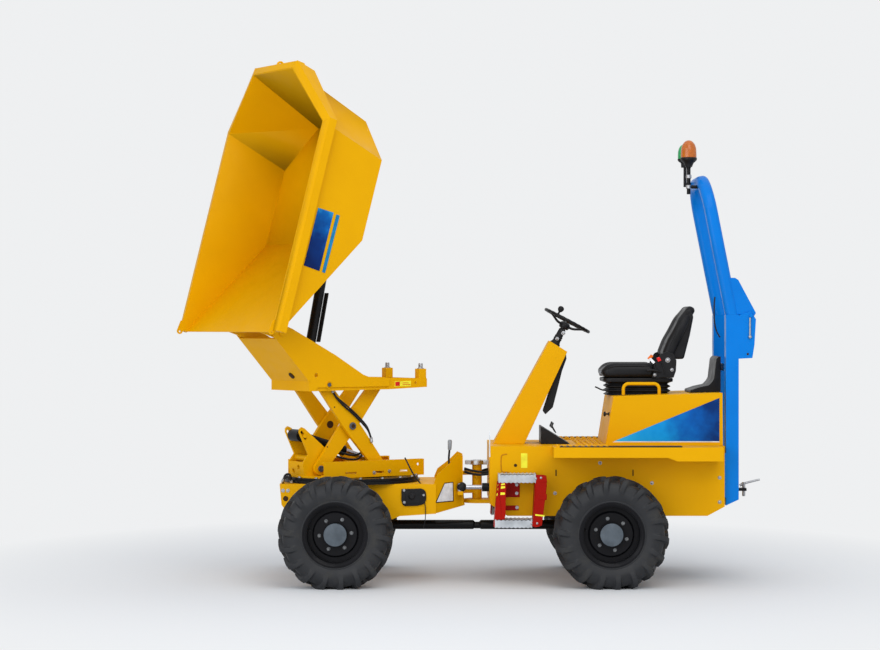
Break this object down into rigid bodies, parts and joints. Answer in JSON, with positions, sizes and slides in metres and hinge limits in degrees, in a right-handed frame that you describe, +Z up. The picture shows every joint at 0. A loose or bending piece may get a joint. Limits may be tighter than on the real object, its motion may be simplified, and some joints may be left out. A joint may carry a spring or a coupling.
{
  "type": "site dumper",
  "caption": "Articulated site dumper with a slewing scissor-lift tipping skip, folding roll-over hoop, seat box, steps and bar-lug wheels, shown raised and tipped.",
  "frame": {"origin": "centre of the overall box at ground level; the machine's own centre plane lies at Y = +0.161 m, because the raised skip is swung toward -Y", "axes": "+X toward the machine's rear, +Y toward its right-hand side, +Z up"},
  "size_m": [3.9262, 1.9064, 3.5223],
  "materials": {
    "yellow_paint": "gloss golden yellow paint",
    "blue_paint": "gloss bright blue paint",
    "red_paint": "gloss red paint",
    "black_paint": "satin black paint",
    "rim_paint": "semi-gloss black rim with grey hub cap",
    "tyre": "moulded rubber with a bar-lug tread",
    "bare_steel": "bare machined steel",
    "chrome_rod": "hard chrome",
    "cast": "dark cast iron",
    "seat_vinyl": "black vinyl seat cover",
    "black_plastic": "black moulded plastic",
    "amber_lens": "amber lens",
    "green_lens": "green lens"
  },
  "bodies": {
    "rear_chassis": {"rear_frame": "yellow_paint", "rear_axle": "cast", "propshaft_rear": "black_paint", "pivot_link": "bare_steel", "running_board_left": "yellow_paint", "running_board_right": "yellow_paint", "seat_box": "yellow_paint", "engine_block": "cast", "seat_base": "black_plastic", "seat_cushion": "seat_vinyl", "seat_back": "seat_vinyl", "steering_post": "yellow_paint", "steering_column": "black_paint", "rops_lower": "blue_paint", "steps_left": "red_paint", "steps_right": "red_paint", "grab_handle_left": "yellow_paint", "grab_handle_right": "yellow_paint", "seat_guard": "black_plastic", "hitch": "bare_steel"},
    "front_chassis": {"front_frame": "yellow_paint", "front_axle": "cast", "propshaft_front": "black_paint", "slew_ring_lower": "black_paint"},
    "turned_frame": {"slew_ring_upper": "black_paint", "lower_frame": "yellow_paint"},
    "arm_pair_b": {"scissor_arm_b": "yellow_paint"},
    "arm_pair_a": {"scissor_arm_a": "yellow_paint"},
    "lifted_frame": {"upper_frame": "yellow_paint", "rest_pads": "yellow_paint"},
    "tub": {"skip": "yellow_paint", "skip_brackets": "yellow_paint"},
    "lift_cylinder": {"lift_barrel": "black_paint"},
    "lift_piston": {"lift_rod": "chrome_rod"},
    "tip_cylinder": {"tip_barrel": "black_paint"},
    "tip_piston": {"tip_rod": "chrome_rod"},
    "steer_cylinder": {"steer_barrel": "black_paint"},
    "steer_piston": {"steer_rod": "chrome_rod"},
    "hoop": {"rops_upper": "blue_paint", "beacon_amber": "amber_lens", "beacon_green": "green_lens"},
    "hand_wheel": {"steering_wheel": "black_plastic"},
    "wheel_front_left": {"tyre_front_left": "tyre", "rim_front_left": "rim_paint"},
    "wheel_front_right": {"tyre_front_right": "tyre", "rim_front_right": "rim_paint"},
    "wheel_rear_left": {"tyre_rear_left": "tyre", "rim_rear_left": "rim_paint"},
    "wheel_rear_right": {"tyre_rear_right": "tyre", "rim_rear_right": "rim_paint"}
  },
  "joints": [
    {"name": "articulation_steer", "type": "hinge", "parent": "rear_chassis", "child": "front_chassis", "pos_m": [0.0931, 0.1612, 0.66], "axis": [0, 0, 1], "range_deg": [-30, 30]},
    {"name": "skip_slew", "type": "hinge", "parent": "front_chassis", "child": "turned_frame", "pos_m": [-0.7719, 0.1612, 0.709], "axis": [0, 0, 1], "range_deg": [-124, 56]},
    {"name": "scissor_lift", "type": "hinge", "parent": "turned_frame", "child": "arm_pair_b", "pos_m": [-1.04963, -0.02613, 0.79], "axis": [-0.5592, 0.829, 0], "range_deg": [0, 42.6]},
    {"name": "scissor_cross", "type": "hinge", "parent": "arm_pair_b", "child": "arm_pair_a", "pos_m": [-0.85895, 0.10248, 1.075], "axis": [-0.5592, 0.829, 0], "range_deg": [-85.2, 0]},
    {"name": "scissor_head", "type": "hinge", "parent": "arm_pair_a", "child": "lifted_frame", "pos_m": [-1.04963, -0.02613, 1.36], "axis": [-0.5592, 0.829, 0], "range_deg": [0, 42.6]},
    {"name": "skip_tip", "type": "hinge", "parent": "lifted_frame", "child": "tub", "pos_m": [-1.35223, -0.23024, 1.707], "axis": [-0.5592, 0.829, 0], "range_deg": [0, 74]},
    {"name": "lift_cylinder_swing", "type": "hinge", "parent": "turned_frame", "child": "lift_cylinder", "pos_m": [-1.13253, -0.08205, 1.013], "axis": [-0.5592, 0.829, 0], "range_deg": [-3.92, 0]},
    {"name": "lift_cylinder_stroke", "type": "slide", "parent": "lift_cylinder", "child": "lift_piston", "axis": [0.7921, 0.5343, -0.2952], "range_m": [0, 0.2262]},
    {"name": "tip_cylinder_swing", "type": "hinge", "parent": "lifted_frame", "child": "tip_cylinder", "pos_m": [-1.06289, -0.03508, 1.528], "axis": [-0.5592, 0.829, 0], "range_deg": [0, 89.25]},
    {"name": "tip_cylinder_stroke", "type": "slide", "parent": "tip_cylinder", "child": "tip_piston", "axis": [0.1646, 0.111, 0.9801], "range_m": [-0.41702, 0]},
    {"name": "steer_cylinder_swing", "type": "hinge", "parent": "rear_chassis", "child": "steer_cylinder", "pos_m": [0.4781, -0.0538, 0.659], "axis": [0, 0, 1], "range_deg": [-7, 7]},
    {"name": "steer_cylinder_stroke", "type": "slide", "parent": "steer_cylinder", "child": "steer_piston", "axis": [-1, 0, 0], "range_m": [-0.112, 0.112]},
    {"name": "hoop_fold", "type": "hinge", "parent": "rear_chassis", "child": "hoop", "pos_m": [1.9281, 0.1612, 1.826], "axis": [0, 1, 0], "range_deg": [0, 120]},
    {"name": "hand_wheel_turn", "type": "hinge", "parent": "rear_chassis", "child": "hand_wheel", "pos_m": [0.7151, 0.1612, 1.792], "axis": [0.4687, 0, 0.8834], "continuous": true},
    {"name": "wheel_front_left_roll", "type": "hinge", "parent": "front_chassis", "child": "wheel_front_left", "pos_m": [-0.8519, -0.4988, 0.381], "axis": [0, 1, 0], "continuous": true},
    {"name": "wheel_front_right_roll", "type": "hinge", "parent": "front_chassis", "child": "wheel_front_right", "pos_m": [-0.8519, 0.8212, 0.381], "axis": [0, 1, 0], "continuous": true},
    {"name": "wheel_rear_left_roll", "type": "hinge", "parent": "rear_chassis", "child": "wheel_rear_left", "pos_m": [0.9681, -0.4988, 0.381], "axis": [0, 1, 0], "continuous": true},
    {"name": "wheel_rear_right_roll", "type": "hinge", "parent": "rear_chassis", "child": "wheel_rear_right", "pos_m": [0.9681, 0.8212, 0.381], "axis": [0, 1, 0], "continuous": true}
  ],
  "couplings": [
    {"joint": "scissor_cross", "follows": "scissor_lift", "ratio": -2},
    {"joint": "scissor_head", "follows": "scissor_lift", "ratio": 1},
    {"joint": "lift_cylinder_swing", "follows": "scissor_lift", "ratio": -0.091896},
    {"joint": "lift_cylinder_stroke", "follows": "scissor_lift", "m_per_rad": 0.30409},
    {"joint": "tip_cylinder_swing", "follows": "skip_tip", "ratio": 1.2059},
    {"joint": "tip_cylinder_stroke", "follows": "skip_tip", "m_per_rad": -0.32281},
    {"joint": "steer_cylinder_swing", "follows": "articulation_steer", "ratio": 0.2141},
    {"joint": "steer_cylinder_stroke", "follows": "articulation_steer", "m_per_rad": -0.2103}
  ]
}
